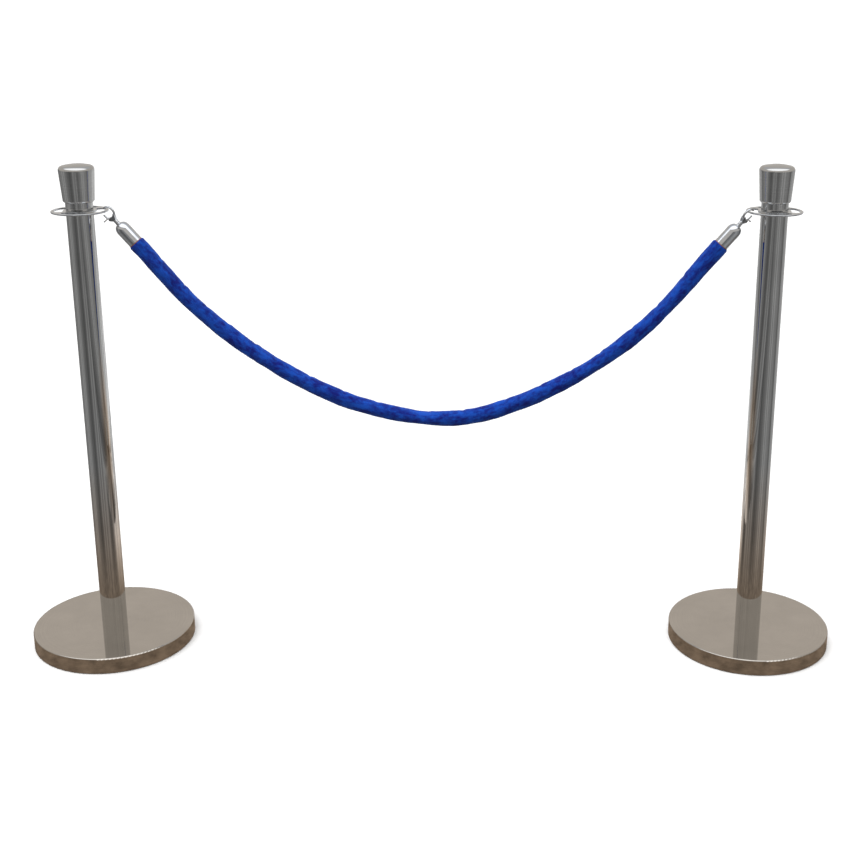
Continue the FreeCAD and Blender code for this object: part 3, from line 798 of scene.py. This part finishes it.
def room_material(name, low, high, above):
    """What the polish mirrors: upright bands of light and shade round the nearer post.

    low is the tint beside the post, high the tint away from it, and above the colour over head height.
    """
    material, tree = material_tree(name)
    across, depth, height, side = post_place(tree)
    bearing = add_node(tree, MATH, {0: depth, 1: across}, operation="ARCTAN2")
    left = add_node(tree, MATH, {0: side, 1: 0.0}, operation="LESS_THAN")
    turned = add_node(tree, MATH, {0: left, 1: LEFT_POST_TURN, 2: bearing}, operation="MULTIPLY_ADD")
    turns = add_node(tree, MATH, {0: turned, 1: 1 / (2 * math.pi), 2: 0.5}, operation="MULTIPLY_ADD")
    share = add_node(tree, MATH, {0: turns}, operation="FRACT")
    bands = add_node(tree, "ShaderNodeValToRGB", {"Fac": share})
    stops = bands.color_ramp.elements
    for stop in list(stops)[1:]:
        stops.remove(stop)
    for index, (place, light) in enumerate(ROOM_BANDS):
        stop = stops[0] if index == 0 else stops.new(place)
        stop.position = place
        stop.color = (light, light, light, 1)
    streaks = add_node(
        tree, NOISE, {"W": turned, "Scale": 4.2, "Detail": 4.0, "Roughness": 0.75}, noise_dimensions="1D"
    )
    streak = add_node(
        tree, RANGE, {"Value": streaks, "From Min": 0.34, "From Max": 0.66, "To Min": 0.6, "To Max": 1.95}
    )
    shade = add_node(tree, MIX, {"Factor": 1.0, "A": bands, "B": streak}, data_type="RGBA", blend_type="MULTIPLY")
    radius = post_radius(tree, across, depth)
    # close to a post the bands run together, and the worn floor's own blotches, about 45 mm wide, take over
    even = add_node(tree, RANGE, {"Value": radius, "From Min": 0.2, "From Max": 0.55})
    place = add_node(tree, JOIN, {"X": across, "Y": depth, "Z": height})
    worn = add_node(tree, NOISE, {"Vector": place, "Scale": 1 / (45 * MM), "Detail": 4.0, "Roughness": 0.6})
    blotch = add_node(tree, RANGE, {"Value": worn, "From Min": 0.35, "From Max": 0.68, "To Min": 0.17, "To Max": 0.33})
    mixed = add_node(tree, MIX, {"Factor": even, "A": blotch, "B": shade}, data_type="RGBA")
    far = add_node(tree, RANGE, {"Value": radius, "From Min": 0.25, "From Max": 1.1})
    tint = add_node(tree, MIX, {"Factor": far, "A": linear(low), "B": linear(high)}, data_type="RGBA")
    tinted = add_node(tree, MIX, {"Factor": 1.0, "A": mixed, "B": tint}, data_type="RGBA", blend_type="MULTIPLY")
    lifted = add_node(tree, RANGE, {"Value": height, "From Min": 1.0, "From Max": 1.7})
    colour = add_node(tree, MIX, {"Factor": lifted, "A": tinted, "B": linear(above)}, data_type="RGBA")
    glow = add_node(tree, "ShaderNodeEmission", {"Color": colour, "Strength": 1.0})
    add_node(tree, "ShaderNodeOutputMaterial", {"Surface": glow})
    return material


def only_seen_by(obj, camera=False, diffuse=False, glossy=False):
    """Hides a stage piece from every kind of ray but those named."""
    obj.visible_camera = camera
    obj.visible_diffuse = diffuse
    obj.visible_glossy = glossy
    obj.visible_shadow = False
    obj.visible_transmission = False
    obj.visible_volume_scatter = False


class STANCHION_OT_set_stage(bpy.types.Operator):
    """Puts the camera, the pale floor and the soft light in place"""

    bl_idname = "stanchion.set_stage"
    bl_label = "Set the studio"

    def execute(self, context):
        settings = context.scene.studio
        self.camera(context, settings)
        self.light(context, settings)
        self.floor(settings)
        self.room()
        context.scene.view_settings.view_transform = "Standard"
        return {"FINISHED"}

    def camera(self, context, settings):
        data = bpy.data.cameras.new("camera")
        data.lens = settings.lens
        data.sensor_width = 36
        data.shift_x, data.shift_y = CAMERA_SHIFT
        data.clip_end = 500
        camera = bpy.data.objects.new("camera", data)
        camera.location = CAMERA_PLACE
        camera.rotation_euler = (math.radians(CAMERA_TILT), 0, math.radians(CAMERA_TURN))
        context.scene.collection.objects.link(camera)
        context.scene.camera = camera

    def light(self, context, settings):
        sun = bpy.data.lights.new("key", "SUN")
        sun.energy = settings.key
        sun.angle = math.radians(50)
        key = bpy.data.objects.new("key", sun)
        key.rotation_euler = (math.radians(8), math.radians(-10), 0)
        # the polish mirrors the room, and not the lamp
        key.visible_glossy = False
        context.scene.collection.objects.link(key)
        world = bpy.data.worlds.new("studio")
        world.use_nodes = True
        tree = world.node_tree
        tree.nodes.clear()
        # the open background stays white, while the light that it gives is softer
        seen = add_node(tree, "ShaderNodeLightPath").outputs["Is Camera Ray"]
        strength = add_node(tree, RANGE, {"Value": seen, "To Min": settings.sky, "To Max": 1.0})
        sky = add_node(tree, "ShaderNodeBackground", {"Color": (1, 1, 1), "Strength": strength})
        add_node(tree, "ShaderNodeOutputWorld", {"Surface": sky})
        context.scene.world = world

    def floor(self, settings):
        bm = bmesh.new()
        bmesh.ops.create_circle(bm, cap_ends=True, segments=64, radius=STUDIO_RADIUS)
        material, tree = material_tree("Painted studio floor")
        place = add_node(tree, "ShaderNodeTexCoord").outputs["Object"]
        # the roller leaves faint patches about 400 mm wide
        roller = add_node(tree, NOISE, {"Vector": place, "Scale": 1 / 0.4, "Detail": 2.0})
        pale = darker(settings.floor, 0.985)
        finish_material(
            tree,
            {
                "Base Color": add_node(tree, MIX, {"Factor": roller, "A": pale, "B": settings.floor}, data_type="RGBA"),
                "Roughness": 0.9,
                "Specular IOR Level": 0.1,
            },
        )
        floor = add_piece(bm, "studio_floor", material)
        # the polish and the underside of the rope see the room's own floor instead
        only_seen_by(floor, camera=True)
        floor.visible_shadow = True

    def room(self):
        bm = bmesh.new()
        bmesh.ops.create_circle(bm, cap_ends=True, segments=64, radius=ROOM_RADIUS)
        bmesh.ops.translate(bm, verts=bm.verts, vec=(0, 0, ROOM_FLOOR))
        floor = add_piece(bm, "room_floor", room_material("Room floor", "FBDFC4", "FFFFFF", "FFFFFF"))
        bm = bmesh.new()
        skirting = bmesh.ops.create_circle(bm, segments=64, radius=ROOM_RADIUS)["verts"]
        top = bmesh.ops.extrude_edge_only(bm, edges=linked_edges(skirting))["geom"]
        corners = [item for item in top if isinstance(item, bmesh.types.BMVert)]
        bmesh.ops.translate(bm, verts=corners, vec=(0, 0, ROOM_HEIGHT))
        wall = add_piece(bm, "room_wall", room_material("Room wall", "FFFFFF", "FFFFFF", "CBC6C0"))
        # the ceiling is brightest over the front, which lights the rims, and dimmer towards the back
        bm = bmesh.new()
        bmesh.ops.create_circle(bm, cap_ends=True, segments=64, radius=ROOM_RADIUS)
        bmesh.ops.translate(bm, verts=bm.verts, vec=(0, 0, ROOM_CEILING))
        material, tree = material_tree("Room ceiling")
        place = add_node(tree, "ShaderNodeTexCoord").outputs["Object"]
        front = add_node(tree, "ShaderNodeSeparateXYZ", {0: place}).outputs["Y"]
        glow = add_node(tree, RANGE, {"Value": front, "From Min": -0.3, "From Max": 1.2, "To Min": 1.7, "To Max": 0.6})
        shine = add_node(tree, "ShaderNodeEmission", {"Color": linear("FBFCFF"), "Strength": glow})
        add_node(tree, "ShaderNodeOutputMaterial", {"Surface": shine})
        ceiling = add_piece(bm, "room_ceiling", material)
        for piece in (floor, wall, ceiling):
            only_seen_by(piece, diffuse=piece is floor, glossy=True)


# ---------------------------------------------------------------- the add-on
STEPS = (
    STANCHION_OT_set_stage,
    STANCHION_OT_hang_rope,
    STANCHION_OT_finish_posts,
    STANCHION_OT_finish_heads,
    STANCHION_OT_finish_bases,
    STANCHION_OT_finish_hooks,
    STANCHION_OT_finish_fixings,
)


class STANCHION_PT_panel(bpy.types.Panel):
    """Lists the settings and the steps"""

    bl_label = "Stanchions"
    bl_idname = "STANCHION_PT_panel"
    bl_space_type = "VIEW_3D"
    bl_region_type = "UI"
    bl_category = "Stanchions"

    def draw(self, context):
        for group in (context.scene.velvet_rope, context.scene.stanchion_metal, context.scene.studio):
            column = self.layout.column()
            for name in group.__annotations__:
                column.prop(group, name)
        for step in STEPS:
            self.layout.operator(step.bl_idname)


CLASSES = (VelvetRopeSettings, MetalSettings, StudioSettings, *STEPS, STANCHION_PT_panel)


def register():
    for made in CLASSES:
        bpy.utils.register_class(made)
    bpy.types.Scene.velvet_rope = bpy.props.PointerProperty(type=VelvetRopeSettings)
    bpy.types.Scene.stanchion_metal = bpy.props.PointerProperty(type=MetalSettings)
    bpy.types.Scene.studio = bpy.props.PointerProperty(type=StudioSettings)


def unregister():
    del bpy.types.Scene.velvet_rope
    del bpy.types.Scene.stanchion_metal
    del bpy.types.Scene.studio
    for made in reversed(CLASSES):
        bpy.utils.unregister_class(made)


def main():
    register()
    bpy.ops.stanchion.set_stage()
    bpy.ops.stanchion.hang_rope()
    bpy.ops.stanchion.finish_posts()
    bpy.ops.stanchion.finish_heads()
    bpy.ops.stanchion.finish_bases()
    bpy.ops.stanchion.finish_hooks()
    bpy.ops.stanchion.finish_fixings()


if __name__ == "__main__":
    main()
